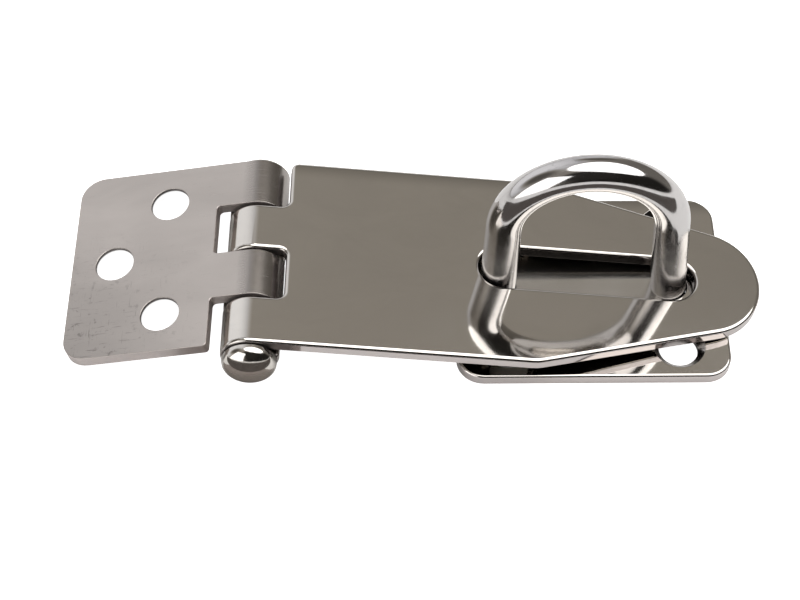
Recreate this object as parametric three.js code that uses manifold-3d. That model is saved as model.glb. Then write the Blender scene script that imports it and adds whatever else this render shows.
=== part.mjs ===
// Hasp and staple for a door, gate or lid, in stainless steel sheet and rod.
// Millimetres, +Z up. The origin is the centre of the underside of the staple's base plate, which
// stands on the surface z = 0. +X runs along the strap from the hinge to the nose, and the hinge
// pin lies along Y. The hasp is laid over the staple: the strap's slot is round the loop, the nose
// rests on the base plate and the free edge of the leaf hangs down to the surface.

import * as THREE from 'three';
import { mergeVertices } from 'three/addons/utils/BufferGeometryUtils.js';
import Module from 'manifold-3d';

const wasm = await Module();
wasm.setup();

// Driving dimensions
const sheet = 1.5;
const pinRadius = 2.0;
const pinClearance = 0.05;
const surfaceGap = 0.05;

const strapWidth = 27.45;
const strapLength = 61.85;
const strapTaperStart = 34.2;
const noseReach = 7.4;
const noseHalfWidth = 7.75;
const strapNotch = 3.6;
const strapFillet = 1.0;
const strapDroop = THREE.MathUtils.degToRad(3.93);

const slotStart = 27.05;
const slotEnd = 53.75;
const slotWidth = 6.0;

const leafWidth = 27.5;
const leafLength = 22.4;
const leafCorner = 3.0;
const leafNotch = 4.35;
const leafFillet = 0.5;
const leafDroop = THREE.MathUtils.degToRad(14.2);
const leafHoles = [[10.5, 8.35], [10.5, -8.35], [16.93, 0]];
const screwHoleRadius = 2.4;

const knuckleCount = 4;
const knuckleGap = 0.35;
const curlWrap = THREE.MathUtils.degToRad(285);

const pinHeadRadius = 3.3;
const pinHeadRim = 0.5;
const pinHeadDome = 1.9;
const pinTailRadius = 3.3;
const pinTailDome = 0.8;
const headGap = 0.15;

const plateLength = 33.3;
const plateWidth = 27.0;
const plateCorner = 3.2;
const plateHoleX = 10.4;
const plateHoleY = 9.0;
const countersinkRadius = 3.2;

const rodRadius = 2.2;
const loopOffset = -1.2;
const loopHalfSpan = 10.0;
const loopTop = 23.5;
const legSplay = THREE.MathUtils.degToRad(5);
const rodClearance = 0.15;
const weldDepth = 0.8;
const weldGap = 0.1;
const stapleTurn = THREE.MathUtils.degToRad(2.7);

// Where the pin's axis lies beside the staple
const hingeX = -40.9;
const hingeY = -0.17;

// Worked out from the driving dimensions
const legFootX = {
  left: loopOffset - loopHalfSpan,
  right: loopOffset + loopHalfSpan / Math.cos(legSplay) + (loopTop - loopHalfSpan) * Math.tan(legSplay),
};
const boreRadius = pinRadius + pinClearance;
const barrelRadius = boreRadius + sheet;
const hingeZ = barrelRadius + surfaceGap;
const knuckleWidth = (strapWidth - (knuckleCount - 1) * knuckleGap) / knuckleCount;
const knucklePitch = knuckleWidth + knuckleGap;

// A curve class draws a circular arc with twice the stated number of segments.
const arcSegments = 6;
const curlSegments = 18;
const roundSegments = 40;
const rodSegments = 9;
const loopSteps = 44;

// ---- solids ----

function toSolid(geometry) {
  const bare = geometry.clone();
  bare.deleteAttribute('normal');
  bare.deleteAttribute('uv');
  const merged = mergeVertices(bare, 1e-5);
  return new wasm.Manifold(new wasm.Mesh({
    numProp: 3,
    vertProperties: new Float32Array(merged.attributes.position.array),
    triVerts: new Uint32Array(merged.index.array),
  }));
}

function toGeometry(solid) {
  const mesh = solid.getMesh();
  const geometry = new THREE.BufferGeometry();
  geometry.setAttribute('position', new THREE.BufferAttribute(mesh.vertProperties, 3));
  geometry.setIndex(new THREE.BufferAttribute(mesh.triVerts, 1));
  return geometry;
}

// A flat sheet with the given outline, lying between z = bottom and z = bottom + sheet.
function sheetFrom(shape, bottom) {
  const geometry = new THREE.ExtrudeGeometry(shape, {
    depth: sheet,
    bevelEnabled: false,
    curveSegments: arcSegments,
  });
  return toSolid(geometry.translate(0, 0, bottom));
}

// A round body about the Z axis. Each point of the profile is [radius, height].
function turned(profile) {
  const points = profile.map(([radius, height]) => new THREE.Vector2(radius, height));
  const geometry = new THREE.LatheGeometry(points, roundSegments);
  return geometry.rotateX(Math.PI / 2);
}

// ---- rolled hinge knuckles ----

// The lowest and highest y of knuckle number index, counted from the +Y end of the barrel.
function knuckleSpan(index) {
  const high = strapWidth / 2 - index * knucklePitch;
  return [high - knuckleWidth, high];
}

// One knuckle rolled from the end of a sheet that lies to its +X side. The sheet's upper face is
// tangent to the top of the barrel, and the roll goes round by curlWrap and ends under the sheet.
function knuckle([low, high], lap) {
  const start = Math.PI / 2;
  const end = start + curlWrap;
  const side = new THREE.Shape();
  side.moveTo(lap, barrelRadius);
  side.lineTo(0, barrelRadius);
  side.absarc(0, 0, barrelRadius, start, end, false);
  side.lineTo(boreRadius * Math.cos(end), boreRadius * Math.sin(end));
  side.absarc(0, 0, boreRadius, end, start, true);
  side.lineTo(lap, boreRadius);
  side.closePath();
  const geometry = new THREE.ExtrudeGeometry(side, {
    depth: high - low,
    bevelEnabled: false,
    curveSegments: curlSegments,
  });
  return toSolid(geometry.rotateX(Math.PI / 2).translate(0, high, 0));
}

// The hinge edge of an outline that runs down the x = 0 side: a notch for the neighbour's rear
// knuckle, a tab, a notch, and a tab at the -Y edge. The outline arrives on the edge y = +half.
function traceHingeEdge(shape, half, notch, fillet) {
  const [tabLow, tabHigh] = knuckleSpan(1);
  const endTabHigh = knuckleSpan(3)[1];
  shape.lineTo(notch + fillet, half);
  shape.absarc(notch + fillet, half - fillet, fillet, Math.PI / 2, Math.PI, false);
  shape.lineTo(notch, tabHigh + fillet);
  shape.absarc(notch - fillet, tabHigh + fillet, fillet, 0, -Math.PI / 2, true);
  shape.lineTo(0, tabHigh);
  shape.lineTo(0, tabLow);
  shape.lineTo(notch - fillet, tabLow);
  shape.absarc(notch - fillet, tabLow - fillet, fillet, Math.PI / 2, 0, true);
  shape.lineTo(notch, endTabHigh + fillet);
  shape.absarc(notch - fillet, endTabHigh + fillet, fillet, 0, -Math.PI / 2, true);
  shape.lineTo(0, endTabHigh);
  shape.lineTo(0, -half);
}

// A flat sheet joined to its two knuckles. The knuckle at the -Y edge is as wide as the sheet is.
function rolledSheet(outline, half, notch) {
  const lap = notch / 2;
  const endTab = [-half, knuckleSpan(3)[1]];
  return sheetFrom(outline, boreRadius)
    .add(knuckle(knuckleSpan(1), lap))
    .add(knuckle(endTab, lap));
}

// ---- the hasp ----

// The strap's sides are parallel, then run straight in to touch an elliptical nose.
function strapOutline() {
  const half = strapWidth / 2;
  const noseCentre = strapLength - noseReach;
  const stretch = noseReach / noseHalfWidth;
  const run = noseCentre - strapTaperStart;
  const rise = half * stretch;
  const tangentAngle = Math.acos(noseReach / Math.hypot(run, rise));
  const touch = Math.atan2(rise, -run) - tangentAngle;
  const shape = new THREE.Shape();
  shape.moveTo(0, -half);
  shape.lineTo(strapTaperStart, -half);
  shape.absellipse(noseCentre, 0, noseReach, noseHalfWidth, -touch, touch, false, 0);
  shape.lineTo(strapTaperStart, half);
  traceHingeEdge(shape, half, strapNotch, strapFillet);
  return shape;
}

function slotPath() {
  const end = slotWidth / 2;
  const path = new THREE.Path();
  path.moveTo(slotStart + end, end);
  path.absarc(slotStart + end, 0, end, Math.PI / 2, 3 * Math.PI / 2, false);
  path.lineTo(slotEnd - end, -end);
  path.absarc(slotEnd - end, 0, end, -Math.PI / 2, Math.PI / 2, false);
  path.closePath();
  return path;
}

function haspStrap() {
  const outline = strapOutline();
  outline.holes.push(slotPath());
  return toGeometry(rolledSheet(outline, strapWidth / 2, strapNotch));
}

function leafOutline() {
  const half = leafWidth / 2;
  const shape = new THREE.Shape();
  shape.moveTo(0, -half);
  shape.lineTo(leafLength - leafCorner, -half);
  shape.absarc(leafLength - leafCorner, -half + leafCorner, leafCorner, -Math.PI / 2, 0, false);
  shape.lineTo(leafLength, half - leafCorner);
  shape.absarc(leafLength - leafCorner, half - leafCorner, leafCorner, 0, Math.PI / 2, false);
  traceHingeEdge(shape, half, leafNotch, leafFillet);
  return shape;
}

// The leaf is drawn like the strap, with its sheet to the +X side, and turned round afterwards.
function hingeLeaf() {
  const outline = leafOutline();
  for (const [x, y] of leafHoles) {
    const hole = new THREE.Path();
    hole.absarc(x, y, screwHoleRadius, 0, 2 * Math.PI, false);
    outline.holes.push(hole);
  }
  const solid = rolledSheet(outline, leafWidth / 2, leafNotch);
  return toGeometry(solid).rotateZ(Math.PI);
}

// The pin has a domed head at the -Y end and a low peened head at the +Y end.
function hingePin() {
  const headFace = -strapWidth / 2 - headGap;
  const tailFace = leafWidth / 2 + headGap;
  const domeSteps = 8;
  const points = [new THREE.Vector2(0, headFace - pinHeadRim - pinHeadDome)];
  for (let i = 1; i <= domeSteps; i++) {
    const angle = (i / domeSteps) * Math.PI / 2;
    const depth = pinHeadRim + pinHeadDome * Math.cos(angle);
    points.push(new THREE.Vector2(pinHeadRadius * Math.sin(angle), headFace - depth));
  }
  points.push(new THREE.Vector2(pinHeadRadius, headFace));
  points.push(new THREE.Vector2(pinRadius, headFace));
  points.push(new THREE.Vector2(pinRadius, tailFace));
  for (let i = 0; i <= domeSteps; i++) {
    const angle = (i / domeSteps) * Math.PI / 2;
    const radius = pinTailRadius * Math.cos(angle);
    points.push(new THREE.Vector2(i === domeSteps ? 0 : radius, tailFace + pinTailDome * Math.sin(angle)));
  }
  return new THREE.LatheGeometry(points, roundSegments);
}

// ---- the staple ----

function platePerimeter() {
  const x = plateLength / 2;
  const y = plateWidth / 2;
  const r = plateCorner;
  const shape = new THREE.Shape();
  shape.moveTo(-x + r, -y);
  shape.lineTo(x - r, -y);
  shape.absarc(x - r, -y + r, r, -Math.PI / 2, 0, false);
  shape.lineTo(x, y - r);
  shape.absarc(x - r, y - r, r, 0, Math.PI / 2, false);
  shape.lineTo(-x + r, y);
  shape.absarc(-x + r, y - r, r, Math.PI / 2, Math.PI, false);
  shape.lineTo(-x, -y + r);
  shape.absarc(-x + r, -y + r, r, Math.PI, 3 * Math.PI / 2, false);
  return shape;
}

// A screw hole with a 45 degree countersink in the plate's upper face.
function countersunkHole(x, y) {
  const sinkDepth = countersinkRadius - screwHoleRadius;
  const past = 1;
  const cutter = turned([
    [0, -past],
    [screwHoleRadius, -past],
    [screwHoleRadius, sheet - sinkDepth],
    [countersinkRadius + past, sheet + past],
    [0, sheet + past],
  ]);
  return toSolid(cutter.translate(x, y, 0));
}

// A hole for one leg of the loop, chamfered below for its weld.
function legHole(x) {
  const past = 1;
  const radius = rodRadius + rodClearance;
  const cutter = turned([
    [0, -past],
    [radius + weldDepth + past, -past],
    [radius, weldDepth],
    [radius, sheet + past],
    [0, sheet + past],
  ]);
  return toSolid(cutter.translate(x, 0, 0));
}

function staplePlate() {
  let solid = sheetFrom(platePerimeter(), 0);
  for (const x of [-plateHoleX, plateHoleX]) {
    for (const y of [-plateHoleY, plateHoleY]) {
      solid = solid.subtract(countersunkHole(x, y));
    }
  }
  for (const x of [legFootX.left, legFootX.right]) {
    solid = solid.subtract(legHole(x));
  }
  return toGeometry(solid);
}

// The centre line of the loop: an upright leg, a bend, and a leg that spreads out by legSplay
// towards the plate.
class LoopCurve extends THREE.Curve {
  constructor() {
    super();
    this.centreZ = loopTop - loopHalfSpan;
    this.leftLeg = this.centreZ - surfaceGap;
    this.bend = loopHalfSpan * (Math.PI - legSplay);
    this.bendEndZ = this.centreZ + loopHalfSpan * Math.sin(legSplay);
    const tilt = rodRadius * Math.tan(legSplay);
    this.rightLeg = (this.bendEndZ - surfaceGap) / Math.cos(legSplay) - tilt;
  }

  getPoint(t) {
    const along = t * (this.leftLeg + this.bend + this.rightLeg);
    if (along < this.leftLeg) {
      return new THREE.Vector3(-loopHalfSpan, 0, surfaceGap + along);
    }
    const turn = Math.min((along - this.leftLeg) / loopHalfSpan, Math.PI - legSplay);
    const down = Math.max(along - this.leftLeg - this.bend, 0);
    const x = -loopHalfSpan * Math.cos(turn) + down * Math.sin(legSplay);
    const z = this.centreZ + loopHalfSpan * Math.sin(turn) - down * Math.cos(legSplay);
    return new THREE.Vector3(x, 0, z);
  }
}

function stapleLoop() {
  const section = new THREE.Shape();
  section.absarc(0, 0, rodRadius, 0, 2 * Math.PI, false);
  const geometry = new THREE.ExtrudeGeometry(section, {
    steps: loopSteps,
    curveSegments: rodSegments,
    extrudePath: new LoopCurve(),
  });
  return geometry.translate(loopOffset, 0, 0);
}

// The ring of weld that fills the chamfer under the plate round one leg.
function weldRing(x) {
  const outer = rodRadius + rodClearance + weldDepth - weldGap;
  const inner = rodRadius + weldGap;
  const top = weldDepth - weldGap - surfaceGap;
  const profile = [
    [inner, surfaceGap],
    [outer - surfaceGap, surfaceGap],
    [outer - top, top],
    [inner, top],
    [inner, surfaceGap],
  ];
  return turned(profile).translate(x, 0, 0);
}

// ---- assembly ----

const polished = { color: 0xc4bfb8, metalness: 1, roughness: 0.12 };
const satin = { color: 0xb4aeaa, metalness: 1, roughness: 0.38 };
const ground = { color: 0x8d8883, metalness: 1, roughness: 0.6 };

function piece(name, geometry, finish) {
  const mesh = new THREE.Mesh(geometry, new THREE.MeshStandardMaterial(finish));
  mesh.name = name;
  return mesh;
}

const staple = new THREE.Group();
staple.rotation.z = stapleTurn;
staple.add(piece('staple_plate', staplePlate(), polished));
staple.add(piece('staple_loop', stapleLoop(), polished));
staple.add(piece('weld_left', weldRing(legFootX.left), ground));
staple.add(piece('weld_right', weldRing(legFootX.right), ground));

const strap = piece('hasp_strap', haspStrap(), polished);
strap.rotation.y = strapDroop;

const leaf = piece('hinge_leaf', hingeLeaf(), satin);
leaf.rotation.y = -leafDroop;

const hinge = new THREE.Group();
hinge.position.set(hingeX, hingeY, hingeZ);
hinge.add(strap, leaf, piece('hinge_pin', hingePin(), polished));

const object = new THREE.Group();
object.add(staple, hinge);

export default object;
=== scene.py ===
# Hasp and staple in polished stainless steel, laid closed on a pale floor.
# Lengths at the top are in millimetres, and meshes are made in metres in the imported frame's axes.

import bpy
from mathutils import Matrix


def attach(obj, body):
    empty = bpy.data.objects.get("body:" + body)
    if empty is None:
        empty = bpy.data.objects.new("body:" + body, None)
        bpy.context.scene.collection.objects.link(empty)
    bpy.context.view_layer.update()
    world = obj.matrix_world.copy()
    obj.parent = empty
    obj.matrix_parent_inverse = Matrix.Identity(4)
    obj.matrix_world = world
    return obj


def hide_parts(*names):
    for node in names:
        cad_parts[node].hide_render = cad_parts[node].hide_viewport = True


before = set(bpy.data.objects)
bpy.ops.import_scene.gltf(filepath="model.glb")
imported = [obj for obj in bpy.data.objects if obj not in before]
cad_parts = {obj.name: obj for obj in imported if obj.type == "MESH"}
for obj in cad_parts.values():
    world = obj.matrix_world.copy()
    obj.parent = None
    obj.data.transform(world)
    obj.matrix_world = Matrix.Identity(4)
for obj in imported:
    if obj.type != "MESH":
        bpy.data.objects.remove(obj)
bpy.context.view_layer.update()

import math

import bmesh
import bpy
from mathutils import Matrix, Vector

MM = 0.001

# Driving dimensions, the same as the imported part's
SHEET = 1.5
BORE_RADIUS = 2.05
BARREL_RADIUS = BORE_RADIUS + SHEET
CURL_WRAP = math.radians(285)
HINGE = (-40.9, -0.17, 3.6)

STRAP_HALF = 13.725
STRAP_LENGTH = 61.85
STRAP_TAPER_START = 34.2
NOSE_REACH = 7.4
NOSE_HALF_WIDTH = 7.75
STRAP_NOTCH = 3.6
STRAP_FILLET = 1.0
STRAP_DROOP = math.radians(3.93)
SLOT = (27.05, 53.75, 3.0)

LEAF_HALF = 13.75
LEAF_LENGTH = 22.4
LEAF_CORNER = 3.0
LEAF_NOTCH = 4.35
LEAF_FILLET = 0.5
LEAF_DROOP = math.radians(14.2)
LEAF_HOLES = [(10.5, 8.35), (10.5, -8.35), (16.93, 0.0)]
SCREW_RADIUS = 2.4

KNUCKLE_GAP = 0.35
KNUCKLE_WIDTH = (2 * STRAP_HALF - 3 * KNUCKLE_GAP) / 4

PIN_RADIUS = 2.0
PIN_HEAD_RADIUS = 3.3
PIN_HEAD_RIM = 0.5
PIN_HEAD_DOME = 1.9
PIN_TAIL_RADIUS = 3.3
PIN_TAIL_DOME = 0.8
HEAD_GAP = 0.15

PLATE_HALF_X = 16.65
PLATE_HALF_Y = 13.5
PLATE_CORNER = 3.2
PLATE_HOLE = (10.4, 9.0)
SINK_RADIUS = 3.2
STAPLE_TURN = math.radians(2.7)

ROD_RADIUS = 2.2
LOOP_OFFSET = -1.2
LOOP_HALF_SPAN = 10.0
LOOP_TOP = 23.5
LEG_SPLAY = math.radians(5)
WELD_DEPTH = 0.8
FOOT_Z = 0.05
LEG_CLEARANCE = 0.03

LEG_X = (
    LOOP_OFFSET - LOOP_HALF_SPAN,
    LOOP_OFFSET + LOOP_HALF_SPAN / math.cos(LEG_SPLAY)
    + (LOOP_TOP - LOOP_HALF_SPAN) * math.tan(LEG_SPLAY),
)

# ---- outlines: lists of (point, outward normal), with the metal on the left of the path ----

STEP = math.radians(9)


def unit(angle):
    return Vector((math.cos(angle), math.sin(angle)))


def corner(before, at, after, radius):
    """The rounding at one corner of a path, as points with exact normals."""
    d1 = (Vector(at) - Vector(before)).normalized()
    d2 = (Vector(after) - Vector(at)).normalized()
    turn = math.atan2(d1.cross(d2), d1.dot(d2))
    if abs(turn) < 1e-5:
        return []
    tangent = radius * math.tan(abs(turn) / 2)
    start = Vector(at) - d1 * tangent
    side = 1 if turn > 0 else -1
    inward = Vector((-d1.y, d1.x)) * side
    centre = start + inward * radius
    count = max(2, math.ceil(abs(turn) / STEP))
    points = []
    for i in range(count + 1):
        a = turn * i / count
        spoke = Vector((
            -inward.x * math.cos(a) + inward.y * math.sin(a),
            -inward.x * math.sin(a) - inward.y * math.cos(a),
        ))
        points.append((centre + spoke * radius, spoke * side))
    return points


def rounded(corners, closed=True):
    """A path of straight lines with rounded corners, each given as (x, y, radius)."""
    points = []
    count = len(corners)
    for i, (x, y, radius) in enumerate(corners):
        if not closed and i in (0, count - 1):
            continue
        before = corners[i - 1][:2]
        after = corners[(i + 1) % count][:2]
        points += corner(before, (x, y), after, radius)
    return points


def circle_hole(x, y, radius, count=56):
    """A round hole. It is traced clockwise, and its normals point to its centre."""
    points = []
    for i in range(count):
        spoke = unit(-2 * math.pi * i / count)
        points.append((Vector((x, y)) + spoke * radius, -spoke))
    return points


def slot_hole(start, end, radius, count=28):
    points = []
    for x, first in ((end - radius, math.pi / 2), (start + radius, -math.pi / 2)):
        for i in range(count + 1):
            spoke = unit(first - math.pi * i / count)
            points.append((Vector((x, 0)) + spoke * radius, -spoke))
    return points


def knuckle_span(index):
    high = STRAP_HALF - index * (KNUCKLE_WIDTH + KNUCKLE_GAP)
    return high - KNUCKLE_WIDTH, high


CURL_RADIUS = (BORE_RADIUS + BARREL_RADIUS) / 2
CURL_LENGTH = CURL_WRAP * CURL_RADIUS


def hinge_corners(half, notch, fillet):
    """Corners down the hinge edge, from the +Y side: a notch, a tab, a notch and an end tab."""
    low, high = knuckle_span(1)
    end_high = knuckle_span(3)[1]
    tip = -CURL_LENGTH
    return [
        (notch, half, fillet),
        (notch, high, fillet), (tip, high, 0.4), (tip, low, 0.4), (notch, low, fillet),
        (notch, end_high, fillet), (tip, end_high, 0.4), (tip, -half, 0.4),
    ]


def strap_outline():
    half = STRAP_HALF
    centre = STRAP_LENGTH - NOSE_REACH
    stretch = NOSE_REACH / NOSE_HALF_WIDTH
    run, rise = centre - STRAP_TAPER_START, half * stretch
    touch = math.atan2(rise, -run) - math.acos(NOSE_REACH / math.hypot(run, rise))
    nose = []
    count = 56
    for i in range(count + 1):
        a = -touch + 2 * touch * i / count
        point = Vector((centre + NOSE_REACH * math.cos(a), NOSE_HALF_WIDTH * math.sin(a)))
        normal = Vector((math.cos(a) / NOSE_REACH, math.sin(a) / NOSE_HALF_WIDTH)).normalized()
        nose.append((point, normal))
    tip_front = (*nose[0][0], 0)
    tip_back = (*nose[-1][0], 0)
    shoulder = 5.0
    front = rounded([(-CURL_LENGTH, -half, 0), (STRAP_TAPER_START, -half, shoulder), tip_front], False)
    back = rounded([
        tip_back, (STRAP_TAPER_START, half, shoulder),
        *hinge_corners(half, STRAP_NOTCH, STRAP_FILLET), (0, -half, 0),
    ], False)
    return front + nose + back


def leaf_outline():
    half = LEAF_HALF
    return rounded([
        (LEAF_LENGTH, -half, LEAF_CORNER), (LEAF_LENGTH, half, LEAF_CORNER),
        *hinge_corners(half, LEAF_NOTCH, LEAF_FILLET),
    ])


# ---- rims: how the edge of a sheet is shaped, as (inset, height, normal out, normal up) ----

def rim(corners, steps=5):
    """corners are (inset from the outline, height, rounding), from the top face to the bottom one."""
    path = [(corners[0][0] + 1, corners[0][1])]
    path += [(x, z) for x, z, r in corners]
    path.append((corners[-1][0] + 1, corners[-1][1]))
    rings = []
    for i, (x, z, radius) in enumerate(corners):
        at, before, after = Vector((x, z)), Vector(path[i]), Vector(path[i + 2])
        d1, d2 = (at - before).normalized(), (after - at).normalized()
        turn = math.atan2(d1.cross(d2), d1.dot(d2))
        side = 1 if turn > 0 else -1
        tangent = radius * math.tan(abs(turn) / 2)
        inward = Vector((-d1.y, d1.x)) * side
        centre = at - d1 * tangent + inward * radius
        for k in range(steps + 1):
            a = turn * k / steps
            spoke = Vector((
                -inward.x * math.cos(a) + inward.y * math.sin(a),
                -inward.x * math.sin(a) - inward.y * math.cos(a),
            ))
            point = centre + spoke * radius
            normal = spoke * side
            rings.append((point.x, point.y, -normal.x, normal.y))
    return rings


def plain_rim(top, bottom, top_round, bottom_round, stretch=1.0, steps=5):
    """A rounded edge. stretch makes its roundings wider than they are deep, like a rolled-over edge."""
    rings = []
    for inset, height, out, up in rim([(0, top, top_round), (0, bottom, bottom_round)], steps):
        normal = Vector((out / stretch, up)).normalized()
        rings.append((inset * stretch, height, normal.x, normal.y))
    return rings


# ---- meshes ----

def sheet_bmesh(loops):
    """A flat sheet. loops are (outline, rim) pairs, the outer edge first and then the holes.
    Layers on its points: their smooth normal, and how much they belong to a cut edge, to the wall of
    a hole and to a rolled knuckle."""
    bm = bmesh.new()
    normal_layer = bm.verts.layers.float_vector.new("flat_normal")
    cut_layer = bm.verts.layers.float.new("cut")
    hole_layer = bm.verts.layers.float.new("hole")
    bm.verts.layers.float.new("rolled")
    top_edges, bottom_edges = [], []
    for number, (outline, rings) in enumerate(loops):
        verts = []
        for inset, height, out, up in rings:
            ring = []
            for point, normal in outline:
                place = point - normal * inset
                vert = bm.verts.new((place.x, place.y, height))
                vert[normal_layer] = Vector((normal.x * out, normal.y * out, up))
                vert[cut_layer] = max(0.0, out)
                vert[hole_layer] = vert[cut_layer] if number else 0.0
                ring.append(vert)
            verts.append(ring)
        size = len(outline)
        for upper, lower in zip(verts, verts[1:]):
            for i in range(size):
                j = (i + 1) % size
                bm.faces.new((upper[i], lower[i], lower[j], upper[j]))
        for ring, edges in ((verts[0], top_edges), (verts[-1], bottom_edges)):
            for i in range(size):
                edges.append(bm.edges.get((ring[i], ring[(i + 1) % size])))
    bmesh.ops.triangle_fill(bm, use_beauty=True, use_dissolve=False, edges=top_edges)
    bmesh.ops.triangle_fill(bm, use_beauty=True, use_dissolve=False, edges=bottom_edges)
    bmesh.ops.recalc_face_normals(bm, faces=bm.faces)
    return bm


def cut_across(bm, position):
    bmesh.ops.bisect_plane(
        bm, geom=bm.verts[:] + bm.edges[:] + bm.faces[:], dist=1e-6,
        plane_co=(position, 0, 0), plane_no=(1, 0, 0),
    )


def roll(bm):
    """Rolls the tabs, which lie at x < 0, round the hinge pin, which lies along x = z = 0."""
    slices = 48
    for i in range(slices):
        cut_across(bm, -CURL_LENGTH * i / slices)
    normal_layer = bm.verts.layers.float_vector["flat_normal"]
    rolled_layer = bm.verts.layers.float["rolled"]
    for vert in bm.verts:
        x, y, z = vert.co
        vert[rolled_layer] = min(1.0, max(0.0, -x / 1.6))
        if x >= 0:
            continue
        angle = math.pi / 2 - x / CURL_RADIUS
        vert.co = (z * math.cos(angle), y, z * math.sin(angle))
        turned = Matrix.Rotation(x / CURL_RADIUS, 3, "Y")
        vert[normal_layer] = turned @ vert[normal_layer]


def finish_piece(bm, name, place, body, nodes, material):
    """Puts a mesh made in millimetres in its place and joins it to its body."""
    scale = Matrix.Scale(MM, 4)
    bm.transform(scale @ place)
    if bm.calc_volume(signed=True) < 0:
        bmesh.ops.reverse_faces(bm, faces=bm.faces)
    layer = bm.verts.layers.float_vector.get("flat_normal")
    turn = place.to_3x3()
    normals = [(turn @ v[layer]).normalized() for v in bm.verts] if layer else None
    mesh = bpy.data.meshes.new(name)
    for face in bm.faces:
        face.smooth = True
    bm.to_mesh(mesh)
    bm.free()
    if normals:
        mesh.normals_split_custom_set_from_vertices(normals)
        mesh.attributes.remove(mesh.attributes["flat_normal"])
    piece = bpy.data.objects.new(name, mesh)
    bpy.context.scene.collection.objects.link(piece)
    mesh.materials.append(material)
    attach(piece, body)
    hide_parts(*nodes)
    return piece


def lathe(profile, count=96):
    """A round body about Z. profile is a list of (radius, height, normal out, normal up)."""
    bm = bmesh.new()
    normal_layer = bm.verts.layers.float_vector.new("flat_normal")
    rings = []
    for radius, height, out, up in profile:
        if radius < 1e-6:
            vert = bm.verts.new((0, 0, height))
            vert[normal_layer] = Vector((0, 0, up))
            rings.append([vert])
            continue
        ring = []
        for i in range(count):
            spoke = unit(2 * math.pi * i / count)
            vert = bm.verts.new((spoke.x * radius, spoke.y * radius, height))
            vert[normal_layer] = Vector((spoke.x * out, spoke.y * out, up))
            ring.append(vert)
        rings.append(ring)
    for lower, upper in zip(rings, rings[1:]):
        for i in range(count):
            j = (i + 1) % count
            low, high = len(lower), len(upper)
            corners = [lower[i % low], lower[j % low], upper[j % high], upper[i % high]]
            bm.faces.new(list(dict.fromkeys(corners)))
    return bm


def loop_path():
    """Points down the middle of the loop, each with the direction across it in the loop's plane."""
    centre_z = LOOP_TOP - LOOP_HALF_SPAN
    path = []
    for i in range(24):
        z = FOOT_Z + (centre_z - FOOT_Z) * i / 24
        path.append((Vector((-LOOP_HALF_SPAN, 0, z)), Vector((-1, 0, 0))))
    sweep = math.pi - LEG_SPLAY
    count = 120
    for i in range(count + 1):
        a = math.pi - sweep * i / count
        out = Vector((math.cos(a), 0, math.sin(a)))
        path.append((Vector((0, 0, centre_z)) + out * LOOP_HALF_SPAN, out))
    last, out = path[-1]
    down = Vector((math.sin(LEG_SPLAY), 0, -math.cos(LEG_SPLAY)))
    length = (last.z - FOOT_Z) / math.cos(LEG_SPLAY) - ROD_RADIUS * math.tan(LEG_SPLAY)
    for i in range(1, 25):
        path.append((last + down * (length * i / 24), out))
    return path


def loop_bmesh():
    bm = bmesh.new()
    normal_layer = bm.verts.layers.float_vector.new("flat_normal")
    count = 64
    rings = []
    across = Vector((0, 1, 0))
    for middle, out in loop_path():
        ring = []
        for i in range(count):
            a = 2 * math.pi * i / count
            normal = out * math.cos(a) + across * math.sin(a)
            vert = bm.verts.new(middle + normal * ROD_RADIUS)
            vert[normal_layer] = normal
            ring.append(vert)
        rings.append(ring)
    for low, high in zip(rings, rings[1:]):
        for i in range(count):
            j = (i + 1) % count
            bm.faces.new((low[i], low[j], high[j], high[i]))
    for ring in (rings[0], rings[-1]):
        flat = []
        for vert in ring:
            copy = bm.verts.new(vert.co)
            copy[normal_layer] = Vector((0, 0, -1))
            flat.append(copy)
        bm.faces.new(flat)
    bmesh.ops.remove_doubles(bm, verts=bm.verts, dist=1e-7)
    bmesh.ops.recalc_face_normals(bm, faces=bm.faces)
    return bm


def pin_profile():
    head_face = -STRAP_HALF - HEAD_GAP
    tail_face = LEAF_HALF + HEAD_GAP
    profile = [(0, head_face - PIN_HEAD_RIM - PIN_HEAD_DOME, 0, -1)]
    steps = 20
    for i in range(1, steps + 1):
        a = i / steps * math.pi / 2
        normal = Vector((math.sin(a) / PIN_HEAD_RADIUS, math.cos(a) / PIN_HEAD_DOME)).normalized()
        profile.append((
            PIN_HEAD_RADIUS * math.sin(a), head_face - PIN_HEAD_RIM - PIN_HEAD_DOME * math.cos(a),
            normal.x, -normal.y,
        ))
    soft = 0.2
    profile += [
        (PIN_HEAD_RADIUS, head_face - soft, 1, 0),
        (PIN_HEAD_RADIUS - 0.3 * soft, head_face - 0.3 * soft, 0.7, 0.7),
        (PIN_HEAD_RADIUS - soft, head_face, 0, 1),
        (PIN_RADIUS + soft, head_face, 0, 1),
        (PIN_RADIUS, head_face + soft, 1, 0),
        (PIN_RADIUS, tail_face - soft, 1, 0),
        (PIN_RADIUS + soft, tail_face, 0, -1),
        (PIN_TAIL_RADIUS - 0.05, tail_face, 0.3, -0.9),
    ]
    for i in range(steps + 1):
        a = i / steps * math.pi / 2
        normal = Vector((math.cos(a) / PIN_TAIL_RADIUS, math.sin(a) / PIN_TAIL_DOME)).normalized()
        radius = 0 if i == steps else PIN_TAIL_RADIUS * math.cos(a)
        profile.append((radius, tail_face + PIN_TAIL_DOME * math.sin(a), normal.x, normal.y))
    return profile


def weld_profile():
    outer = ROD_RADIUS + WELD_DEPTH
    bead = []
    steps = 10
    for i in range(steps + 1):
        a = math.pi * i / steps
        bead.append((
            (ROD_RADIUS + outer) / 2 + (outer - ROD_RADIUS) / 2 * math.cos(a),
            0.45 - 0.4 * math.sin(a), math.cos(a), -math.sin(a),
        ))
    return bead


# ---- materials ----

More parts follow.
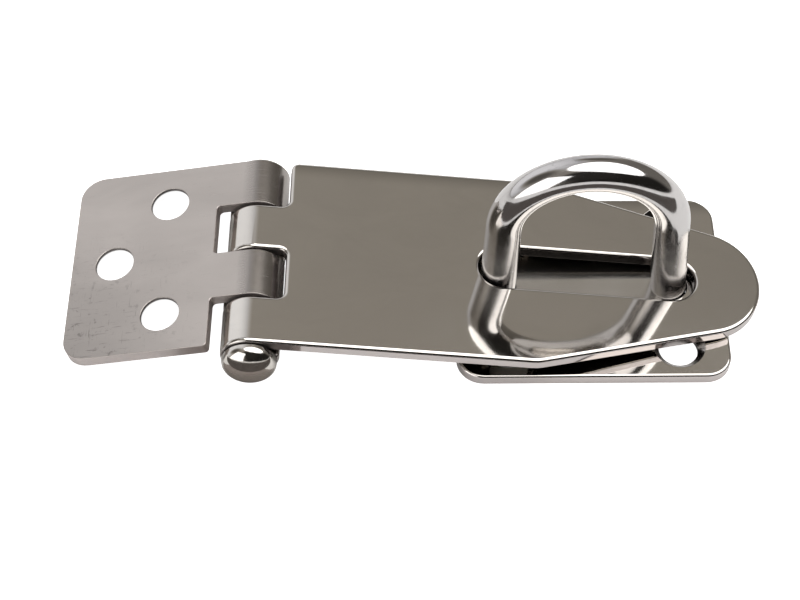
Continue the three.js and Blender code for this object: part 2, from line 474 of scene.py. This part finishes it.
def shade(colour, factor):
    return tuple(c * factor for c in colour)


class Nodes:
    """A material's node tree, with short ways to add and join nodes."""

    def __init__(self, name, colour, roughness):
        self.material = bpy.data.materials.new(name)
        self.material.use_nodes = True
        self.tree = self.material.node_tree
        self.shader = self.tree.nodes["Principled BSDF"]
        self.shader.inputs["Metallic"].default_value = 1.0
        self.shader.inputs["Base Color"].default_value = (*colour, 1)
        self.shader.inputs["Roughness"].default_value = roughness
        self.place = self.add("ShaderNodeTexCoord").outputs["Object"]

    def add(self, kind, **settings):
        node = self.tree.nodes.new(kind)
        for key, value in settings.items():
            setattr(node, key, value)
        return node

    def link(self, source, target):
        self.tree.links.new(source, target)

    def stretched(self, scale):
        """The place on the object, in millimetres times scale, so that a pattern can run one way."""
        mapping = self.add("ShaderNodeMapping")
        self.link(self.place, mapping.inputs["Vector"])
        mapping.inputs["Scale"].default_value = [1000 * s for s in scale]
        return mapping.outputs["Vector"]

    def noise(self, scale, detail=3.0, rough=0.55, distortion=0.0):
        node = self.add("ShaderNodeTexNoise")
        self.link(self.stretched(scale), node.inputs["Vector"])
        node.inputs["Scale"].default_value = 1.0
        node.inputs["Detail"].default_value = detail
        node.inputs["Roughness"].default_value = rough
        node.inputs["Distortion"].default_value = distortion
        return node.outputs["Fac"]

    def range(self, value, low, high, out_low, out_high):
        node = self.add("ShaderNodeMapRange")
        self.link(value, node.inputs["Value"])
        names = ("From Min", "From Max", "To Min", "To Max")
        for key, number in zip(names, (low, high, out_low, out_high)):
            node.inputs[key].default_value = number
        return node.outputs["Result"]

    def math(self, operation, a, b):
        node = self.add("ShaderNodeMath", operation=operation)
        for socket, value in zip(node.inputs, (a, b)):
            if isinstance(value, (int, float)):
                socket.default_value = value
            else:
                self.link(value, socket)
        return node.outputs[0]

    def mix(self, fac, a, b):
        node = self.add("ShaderNodeMix", data_type="RGBA")
        sockets = {"Factor": node.inputs[0], "A": node.inputs[6], "B": node.inputs[7]}
        for key, value in (("Factor", fac), ("A", a), ("B", b)):
            if isinstance(value, (int, float)):
                sockets[key].default_value = value
            elif isinstance(value, tuple):
                sockets[key].default_value = (*value, 1)
            else:
                self.link(value, sockets[key])
        return node.outputs[2]

    def blend(self, fac, a, b):
        """Between two numbers, where mix is between two colours."""
        node = self.add("ShaderNodeMix", data_type="FLOAT")
        for socket, value in zip((node.inputs[0], node.inputs[2], node.inputs[3]), (fac, a, b)):
            self.link(value, socket)
        return node.outputs[0]

    def axes(self):
        """X, Y and Z in metres."""
        node = self.add("ShaderNodeSeparateXYZ")
        self.link(self.place, node.inputs[0])
        return node.outputs

    def layer(self, name):
        """cut is 1 on a sheet's cut edges, hole on the walls of its holes, rolled on its knuckles."""
        return self.add("ShaderNodeAttribute", attribute_name=name).outputs["Fac"]

    def colour(self, socket):
        self.link(socket, self.shader.inputs["Base Color"])

    def roughness(self, socket):
        self.link(socket, self.shader.inputs["Roughness"])

    def glow(self, socket):
        self.shader.inputs["Emission Color"].default_value = (1, 1, 1, 1)
        self.link(socket, self.shader.inputs["Emission Strength"])

    def bump(self, *layers):
        """layers are (height, depth in millimetres), from the deepest to the finest."""
        normal = None
        for height, depth in layers:
            node = self.add("ShaderNodeBump")
            node.inputs["Strength"].default_value = 1.0
            node.inputs["Distance"].default_value = depth * MM
            self.link(height, node.inputs["Height"])
            if normal:
                self.link(normal, node.inputs["Normal"])
            normal = node.outputs["Normal"]
        self.link(normal, self.shader.inputs["Normal"])


def polished_sheet(name, colour, edge_colour, edge_roughness):
    """Mirror-polished sheet: faint wandering waves, fine wiping lines, smudges and satin cut edges. The
    edges near the hinge are rougher and painted darker, as painted shade in the hinge's tight gaps. The
    rear edge falls away a little, and the plate between the loop's legs, under the strap's slot, is
    rougher and painted darker, as painted shade. The walls of holes are painted dark, as painted shade."""
    m = Nodes(name, colour, 0.05)
    x, y, z = m.axes()
    # Painted shade: the cut edges at the hinge's notches and knuckles, beside the leaf's knuckles, are
    # painted darker and made rougher.
    hinge_gap_shade = m.range(x, -0.0352, -0.0362, 0.0, 1.0)
    falling = m.math("SUBTRACT", 1.0, m.math("POWER", m.range(y, 0.0110, 0.0136, 0.0, 1.0), 2))
    # Painted shade: the plate seen down the strap's slot, between the loop's legs, is painted darker and
    # made rougher.
    low = m.range(z, 0.0016, 0.0014, 0.0, 1.0)
    beside = m.range(m.math("ABSOLUTE", y, 0), 0.0030, 0.0044, 1.0, 0.0)
    between = m.range(m.math("ABSOLUTE", m.math("ADD", x, 0.0012), 0), 0.0088, 0.0104, 1.0, 0.0)
    dulled = m.math("MULTIPLY", low, m.math("MULTIPLY", beside, between))
    cut = m.layer("cut")
    smudge = m.range(m.noise((0.09, 0.16, 0.12), 5, 0.6, 0.8), 0.35, 0.7, 0.0, 1.0)
    fine = m.noise((0.25, 9.0, 9.0), 4, 0.7)
    pits = m.range(m.noise((1.3, 1.5, 1.3), 2, 0.5), 0.74, 0.8, 0.0, 1.0)
    face_rough = m.math("ADD", m.range(smudge, 0, 1, 0.045, 0.085), m.range(pits, 0, 1, 0, 0.05))
    face_rough = m.math("ADD", face_rough, m.math("MULTIPLY", dulled, 0.2))
    edge_rough = m.range(m.noise((0.6, 0.6, 4.0), 3, 0.6), 0.3, 0.7, *edge_roughness)
    edge_rough = m.math("ADD", edge_rough, m.math("MULTIPLY", hinge_gap_shade, 0.22))
    wall = m.range(cut, 0.35, 1.0, 0.0, 1.0)
    m.roughness(m.blend(wall, face_rough, edge_rough))
    # Painted shade darkens the plate under the strap's slot.
    face = m.mix(dulled, m.mix(smudge, colour, shade(colour, 0.93)), shade(colour, 0.6))
    # Painted shade darkens the cut edges in the hinge's gaps.
    edge = m.mix(hinge_gap_shade, edge_colour, shade(edge_colour, 0.5))
    edged = m.mix(wall, face, edge)
    # Painted shade: the walls of the slot, the countersinks and the leg holes are painted dark.
    m.colour(m.mix(m.range(m.layer("hole"), 0.5, 1.0, 0, 1), edged, HOLE_WALL_SHADE))
    m.bump((falling, 0.09), (m.noise((0.06, 0.09, 0.08), 1, 0.4), 0.012), (fine, 0.00025))
    return m.material


def polished_rod(name, colour):
    """Polished rod: bright over the bend and duller down the legs, with fine wiping lines, a few dull
    marks and slight ripples from the bending."""
    m = Nodes(name, colour, 0.1)
    marks = m.range(m.noise((0.7, 0.9, 0.35), 4, 0.65, 1.2), 0.56, 0.72, 0.0, 1.0)
    leg = m.range(m.axes()["Z"], 0.016, 0.009, 0.0, 1.0)
    dulled = m.math("ADD", m.range(marks, 0, 1, 0.09, 0.16), m.math("MULTIPLY", leg, 0.14))
    m.roughness(dulled)
    m.colour(m.mix(marks, colour, shade(colour, 0.85)))
    m.bump((m.noise((0.22, 0.3, 0.22), 1, 0.5), 0.03), (m.noise((5, 5, 0.5), 2, 0.5), 0.0005))
    return m.material


def satin_leaf(name, colour, edge_colour):
    """Satin sheet with the grain along X. It has cloudy wear, glossier and darker knuckles, stains and
    fine scratches towards the front left corner, and rougher, duller cut edges."""
    m = Nodes(name, colour, 0.3)
    cut = m.layer("cut")
    rolled = m.layer("rolled")
    grain = m.noise((0.12, 7.0, 0.5), 5, 0.7)
    cloud = m.noise((0.07, 0.16, 0.1), 3, 0.5, 0.4)
    blots = m.noise((0.9, 1.1, 0.5), 4, 0.65, 0.3)
    hatch = m.math("MAXIMUM", m.noise((5.0, 0.35, 1.0), 3, 0.6), m.noise((0.4, 5.5, 1.0), 3, 0.6))
    x, y, z = m.axes()
    rolled = m.math("MAXIMUM", rolled, m.range(x, -0.0430, -0.0414, 0.0, 1.0))
    under = m.math("SUBTRACT", z, m.math("MULTIPLY", x, math.tan(LEAF_DROOP)))
    west = m.range(x, -0.046, -0.062, 0.0, 1.0)
    front = m.range(y, 0.006, -0.012, 0.0, 1.0)
    corner_wear = m.math("MULTIPLY", west, front)
    wall = m.range(cut, 0.5, 0.95, 0.0, 1.0)
    grain_rough = m.range(grain, 0.3, 0.7, 0.27, 0.33)
    face_rough = m.math("SUBTRACT", grain_rough, m.math("MULTIPLY", rolled, 0.05))
    edge_rough = m.range(m.noise((3, 3, 8), 4, 0.7), 0.3, 0.7, 0.35, 0.6)
    m.roughness(m.blend(wall, face_rough, edge_rough))
    clouded = m.mix(m.range(cloud, 0.38, 0.66, 0, 1), shade(colour, 1.05), shade(colour, 0.92))
    worn = m.mix(m.math("MULTIPLY", corner_wear, 0.5), clouded, shade(colour, 0.5))
    scratched = m.math("MULTIPLY", m.range(hatch, 0.63, 0.71, 0, 1), m.math("MULTIPLY", corner_wear, 0.9))
    marked = m.math("MULTIPLY", m.range(blots, 0.6, 0.68, 0, 1), m.math("MULTIPLY", corner_wear, 0.8))
    stained = m.mix(m.math("MAXIMUM", scratched, marked), worn, shade(colour, 0.3))
    knuckled = m.mix(rolled, stained, shade(colour, 0.64))
    edged = m.mix(wall, knuckled, edge_colour)
    # Painted shade and painted reflection: the walls of the screw holes are painted dark near the top,
    # and glow white lower down as a painted reflection of the pale floor.
    hole = m.range(m.layer("hole"), 0.5, 1.0, 0, 1)
    m.colour(m.mix(hole, edged, HOLE_WALL_SHADE))
    m.glow(m.math("MULTIPLY", hole, m.range(under, LEAF_GLOW_TOP, LEAF_GLOW_TOP - 0.0002, 0.0, 0.95)))
    scratches = m.noise((1.4, 12.0, 2.0), 5, 0.75, 0.4)
    m.bump((grain, 0.0007), (scratches, 0.0005))
    return m.material


def pin_metal(name, colour):
    """Pin steel, glossy on top of the head; below it is rougher, with painted shade darkening it."""
    m = Nodes(name, colour, 0.12)
    worn = m.noise((1.2, 1.2, 1.2), 4, 0.6)
    # Painted shade: the lower side of the head is painted darker, and made rougher.
    below = m.range(m.axes()["Z"], 0.0042, 0.0034, 0.0, 1.0)
    m.roughness(m.math("ADD", m.range(worn, 0.35, 0.7, 0.07, 0.14), m.math("MULTIPLY", below, 0.22)))
    bright = m.mix(m.range(worn, 0.4, 0.7, 0, 1), colour, shade(colour, 0.8))
    # Painted shade darkens the lower side of the head.
    m.colour(m.mix(below, bright, shade(colour, 0.8)))
    m.bump((m.noise((0.8, 0.8, 0.8), 2, 0.5), 0.01), (m.noise((9, 2, 9), 3, 0.6), 0.0012))
    return m.material


def weld_metal(name, colour):
    m = Nodes(name, colour, 0.45)
    beads = m.noise((1.6, 1.6, 1.6), 4, 0.6)
    m.roughness(m.range(beads, 0.3, 0.7, 0.3, 0.6))
    m.colour(m.mix(m.range(beads, 0.35, 0.65, 0, 1), colour, shade(colour, 0.6)))
    m.bump((beads, 0.12),)
    return m.material


STEEL = (0.66, 0.63, 0.59)
LEAF_STEEL = (0.505, 0.465, 0.435)
ROD_STEEL = (0.56, 0.545, 0.54)
CUT_STEEL = (0.5, 0.46, 0.45)
LEAF_CUT_STEEL = (0.5, 0.455, 0.44)
# Painted shade for the walls of holes and the slot, which sit dark in their recesses.
HOLE_WALL_SHADE = (0.16, 0.145, 0.14)
# The height of the leaf's upper face, carried on to X = 0. The walls of its screw holes glow white from a
# little below it, as a painted reflection of the pale surface.
LEAF_TOP = HINGE[2] + BARREL_RADIUS / math.cos(LEAF_DROOP) - HINGE[0] * math.tan(LEAF_DROOP)
LEAF_GLOW_TOP = (LEAF_TOP - 0.35) * MM


# ---- the object ----

def build():
    hinge = Matrix.Translation(HINGE)
    strap_place = hinge @ Matrix.Rotation(STRAP_DROOP, 4, "Y")
    leaf_place = hinge @ Matrix.Rotation(-LEAF_DROOP, 4, "Y") @ Matrix.Rotation(math.pi, 4, "Z")
    staple_place = Matrix.Rotation(STAPLE_TURN, 4, "Z")
    lie_back = Matrix.Rotation(-math.pi / 2, 4, "X")

    rolled_rim = plain_rim(BARREL_RADIUS, BORE_RADIUS, 0.36, 0.12, stretch=1.35, steps=8)
    slot_rim = plain_rim(BARREL_RADIUS, BORE_RADIUS, 0.42, 0.1, stretch=1.1, steps=8)
    strap = sheet_bmesh([(strap_outline(), rolled_rim), (slot_hole(*SLOT), slot_rim)])
    roll(strap)
    finish_piece(strap, "strap", strap_place, "strap", ["hasp_strap"],
                 polished_sheet("strap_polish", STEEL, CUT_STEEL, (0.08, 0.14)))

    sharp_rim = plain_rim(BARREL_RADIUS, BORE_RADIUS, 0.1, 0.06)
    leaf = sheet_bmesh(
        [(leaf_outline(), sharp_rim)]
        + [(circle_hole(x, y, SCREW_RADIUS), sharp_rim) for x, y in LEAF_HOLES])
    roll(leaf)
    finish_piece(leaf, "leaf", leaf_place, "leaf", ["hinge_leaf"],
                 satin_leaf("leaf_satin", LEAF_STEEL, LEAF_CUT_STEEL))

    finish_piece(lathe(pin_profile()), "pin", hinge @ lie_back, "pin", ["hinge_pin"],
                 pin_metal("pin_polish", STEEL))

    x, y, r = PLATE_HALF_X, PLATE_HALF_Y, PLATE_CORNER
    flare = SINK_RADIUS - SCREW_RADIUS
    sink = rim([(flare, SHEET, 0.06), (0, SHEET - flare, 0.06), (0, 0, 0.05)], 3)
    leg = rim([(0, SHEET, 0.15), (0, WELD_DEPTH, 0.05), (WELD_DEPTH, 0, 0.05)], 3)
    plate_rim = plain_rim(SHEET, 0, 0.3, 0.12, stretch=1.15, steps=8)
    hole_x, hole_y = PLATE_HOLE
    plate = sheet_bmesh(
        [(rounded([(x, -y, r), (x, y, r), (-x, y, r), (-x, -y, r)]), plate_rim)]
        + [(circle_hole(x, y, SCREW_RADIUS), sink) for x in (-hole_x, hole_x) for y in (-hole_y, hole_y)]
        + [(circle_hole(leg_x, 0, ROD_RADIUS + LEG_CLEARANCE), leg) for leg_x in LEG_X])
    finish_piece(plate, "staple_base", staple_place, "staple", ["staple_plate"],
                 polished_sheet("plate_polish", STEEL, CUT_STEEL, (0.12, 0.22)))

    finish_piece(loop_bmesh(), "loop", staple_place @ Matrix.Translation((LOOP_OFFSET, 0, 0)), "staple",
                 ["staple_loop"], polished_rod("loop_polish", ROD_STEEL))

    weld = weld_metal("weld_metal", (0.4, 0.37, 0.35))
    for name, leg_x in zip(("weld_left", "weld_right"), LEG_X):
        ring = lathe(weld_profile())
        finish_piece(ring, name + "_bead", staple_place @ Matrix.Translation((leg_x, 0, 0)), "staple",
                     [name], weld)


# ---- stage, light and camera ----

JUST_ABOVE = 0.0001
ROOM_TINT = (1.0, 0.93, 0.83)
BRIGHT_TINT = (1.0, 1.0, 1.02)
ROOM_LEVEL = 0.325
# (azimuth, elevation, half angle, softness, brightness), each laid over the ones before it
ROOM_LOBES = [
    (-56, 14, 36, 30, 1.05),
    (-88, 36, 18, 12, 0.12),
    (54, 20, 30, 14, 0.2),
    (140, 10, 52, 12, 0.02),
    (180, 40, 26, 8, 0.03),
    (5, 31, 8, 12, 0.14),
    (0, 8, 14, 8, 0.8),
]


def lay_sheet(name, material_name, west, east, near, far, height, colour, roughness):
    """Lays a matt rectangle flat, and returns it with its shader."""
    bm = bmesh.new()
    corners = ((west, near), (east, near), (east, far), (west, far))
    bm.faces.new([bm.verts.new((x, y, height)) for x, y in corners])
    mesh = bpy.data.meshes.new(name)
    bm.to_mesh(mesh)
    bm.free()
    sheet = bpy.data.objects.new(name, mesh)
    bpy.context.scene.collection.objects.link(sheet)
    material = bpy.data.materials.new(material_name)
    material.use_nodes = True
    shader = material.node_tree.nodes["Principled BSDF"]
    shader.inputs["Base Color"].default_value = (*colour, 1)
    shader.inputs["Roughness"].default_value = roughness
    shader.inputs["Specular IOR Level"].default_value = 0.0
    mesh.materials.append(material)
    return sheet, shader


def add_floor():
    """The pale floor, which looks plain white where the camera sees it directly."""
    reach = 3.0
    floor, shader = lay_sheet(
        "floor", "floor_white", -reach, reach, -reach, reach, -JUST_ABOVE, (0.9, 0.9, 0.9), 0.9)
    shader.inputs["Emission Color"].default_value = (1, 1, 1, 1)
    tree = floor.data.materials[0].node_tree
    path = tree.nodes.new("ShaderNodeLightPath")
    tree.links.new(path.outputs["Is Camera Ray"], shader.inputs["Emission Strength"])


def add_card(name, west, east, near, far, grey):
    """A card on the floor in front, which only the metal sees, as a dark line in its edges."""
    colour = (grey, grey * 0.9, grey * 0.85)
    card = lay_sheet(name, name + "_paper", west, east, near, far, JUST_ABOVE, colour, 1.0)[0]
    card.visible_camera = False
    card.visible_diffuse = False
    card.visible_shadow = False


def add_softbox(name, shape, position, target, size, brightness):
    """A light of even brightness, seen in the metal as a white panel."""
    light = bpy.data.lights.new(name, "AREA")
    light.shape = shape
    light.size, light.size_y = size
    light.energy = brightness * math.pi * size[0] * size[1]
    lamp = bpy.data.objects.new(name, light)
    direction = Vector(target) - Vector(position)
    lamp.location = position
    lamp.rotation_euler = direction.to_track_quat("-Z", "Y").to_euler()
    bpy.context.scene.collection.objects.link(lamp)
    return lamp


def add_lights():
    height = 0.6
    x, y = 0.475 * height, 0.03 * height
    size = (1.82 * height, 1.24 * height)
    add_softbox("softbox_top", "ELLIPSE", (x, y, height), (x, y, 0), size, 2.0)
    add_softbox("softbox_front_left", "RECTANGLE", (-0.55, -0.61, 0.40), (0, 0, 0.40), (0.72, 0.86), 2.0)


def add_world():
    """A warm grey room: dark to the front right, lighter towards the back left. It looks white where
    the camera sees it directly, past the edge of the floor."""
    world = bpy.data.worlds.new("studio")
    bpy.context.scene.world = world
    world.use_nodes = True
    tree = world.node_tree
    tree.nodes.clear()
    direction = tree.nodes.new("ShaderNodeTexCoord").outputs["Generated"]

    def lobe(azimuth, elevation, half_angle, softness):
        """1 inside a cone about a direction and 0 outside. Azimuth is in degrees from +Y towards +X."""
        a, e = math.radians(azimuth), math.radians(elevation)
        dot = tree.nodes.new("ShaderNodeVectorMath")
        dot.operation = "DOT_PRODUCT"
        tree.links.new(direction, dot.inputs[0])
        dot.inputs[1].default_value = (
            math.sin(a) * math.cos(e), math.cos(a) * math.cos(e), math.sin(e))
        ramp = tree.nodes.new("ShaderNodeMapRange")
        ramp.interpolation_type = "SMOOTHSTEP"
        tree.links.new(dot.outputs["Value"], ramp.inputs["Value"])
        ramp.inputs["From Min"].default_value = math.cos(math.radians(half_angle + softness))
        ramp.inputs["From Max"].default_value = math.cos(math.radians(max(half_angle - softness, 0)))
        return ramp.outputs["Result"]

    level = ROOM_LEVEL
    for azimuth, elevation, half_angle, softness, target in ROOM_LOBES:
        inside = lobe(azimuth, elevation, half_angle, softness)
        blend = tree.nodes.new("ShaderNodeMix")
        blend.data_type = "FLOAT"
        tree.links.new(inside, blend.inputs[0])
        if isinstance(level, float):
            blend.inputs[2].default_value = level
        else:
            tree.links.new(level, blend.inputs[2])
        blend.inputs[3].default_value = target
        level = blend.outputs[0]
    neutral = tree.nodes.new("ShaderNodeMapRange")
    tree.links.new(level, neutral.inputs["Value"])
    neutral.inputs["From Min"].default_value = ROOM_LEVEL
    neutral.inputs["From Max"].default_value = 2 * ROOM_LEVEL
    tint = tree.nodes.new("ShaderNodeMix")
    tint.data_type = "RGBA"
    tree.links.new(neutral.outputs["Result"], tint.inputs[0])
    tint.inputs[6].default_value = (*ROOM_TINT, 1)
    tint.inputs[7].default_value = (*BRIGHT_TINT, 1)
    room = tree.nodes.new("ShaderNodeBackground")
    tree.links.new(tint.outputs[2], room.inputs["Color"])
    tree.links.new(level, room.inputs["Strength"])
    white = tree.nodes.new("ShaderNodeBackground")
    white.inputs["Strength"].default_value = 1.1
    path = tree.nodes.new("ShaderNodeLightPath")
    choice = tree.nodes.new("ShaderNodeMixShader")
    tree.links.new(path.outputs["Is Camera Ray"], choice.inputs[0])
    tree.links.new(room.outputs[0], choice.inputs[1])
    tree.links.new(white.outputs[0], choice.inputs[2])
    output = tree.nodes.new("ShaderNodeOutputWorld")
    tree.links.new(choice.outputs[0], output.inputs["Surface"])


def add_camera():
    """A camera that looks down from the front, turned a little to the right and rolled a little."""
    look = Vector((-23.11, -2.08, 0.0)) * MM
    elevation, yaw, roll_angle = math.radians(54.17), math.radians(1.40), math.radians(3.07)
    distance = 277.33 * MM
    ahead = Vector((
        math.sin(yaw) * math.cos(elevation), math.cos(yaw) * math.cos(elevation), -math.sin(elevation)))
    level = Vector((math.cos(yaw), -math.sin(yaw), 0))
    right = Matrix.Rotation(-roll_angle, 3, ahead) @ level
    up = right.cross(ahead)
    camera = bpy.data.cameras.new("camera")
    camera.sensor_width = 36
    camera.lens = 101.33
    camera.clip_start = 0.01
    seat = bpy.data.objects.new("camera", camera)
    turn = Matrix((right, up, -ahead)).transposed().to_4x4()
    seat.matrix_world = Matrix.Translation(look - ahead * distance) @ turn
    bpy.context.scene.collection.objects.link(seat)
    bpy.context.scene.camera = seat


add_camera()
add_world()
add_floor()
add_card("black_card", west=-0.16, east=0.14, near=-0.075, far=-0.021, grey=0.1)
add_card("grey_card", west=-0.050, east=-0.035, near=-0.021, far=-0.015, grey=0.3)
add_lights()
build()

bpy.context.scene.view_settings.view_transform = "Standard"
